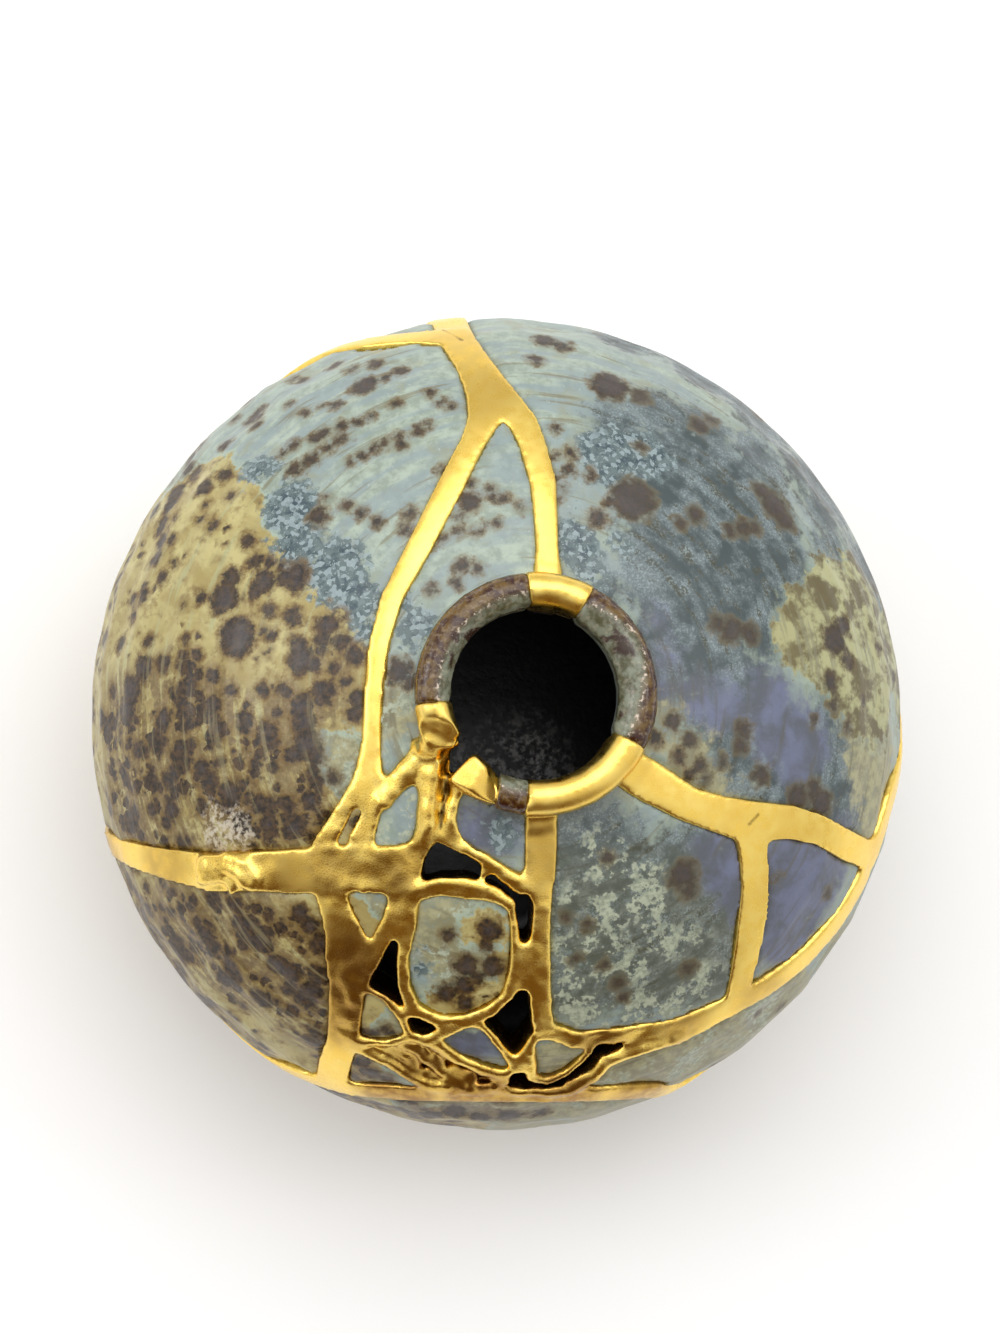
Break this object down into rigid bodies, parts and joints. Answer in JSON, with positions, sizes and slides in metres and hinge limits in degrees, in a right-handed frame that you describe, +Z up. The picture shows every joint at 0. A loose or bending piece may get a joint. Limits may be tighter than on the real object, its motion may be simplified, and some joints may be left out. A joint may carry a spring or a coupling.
{
  "type": "mended bud vase",
  "caption": "Squat hollow stoneware bud vase with a small rolled lip, broken into pieces and mended with raised gold seams, its front left as an open gold lattice.",
  "frame": {"origin": "on the ground, under the middle of the foot ring", "axes": "+Z up the vase's axis, -Y towards the open lattice at the front, +X to the right when facing the lattice"},
  "size_m": [0.1651, 0.1651, 0.1115],
  "materials": {
    "glaze_left": "glossy",
    "glaze_top": "glossy",
    "glaze_right": "glossy",
    "glaze_chips": "glossy",
    "gold": "satin"
  },
  "bodies": {
    "root": {"base_bowl": "glaze_left", "left_shoulder": "glaze_left", "left_belly": "glaze_left", "neck_piece": "glaze_top", "back_piece": "glaze_top", "right_shoulder": "glaze_right", "front_piece": "glaze_right", "violet_piece": "glaze_right", "right_belly": "glaze_right", "lip_chip": "glaze_chips", "sliver_chip": "glaze_chips", "teardrop_chip": "glaze_chips", "triangle_chip": "glaze_chips", "island_chip": "glaze_chips", "small_left_chip": "glaze_chips", "small_middle_chip": "glaze_chips", "front_sliver_chip": "glaze_chips", "small_right_chip": "glaze_chips", "gold_seams": "gold"}
  },
  "joints": []
}
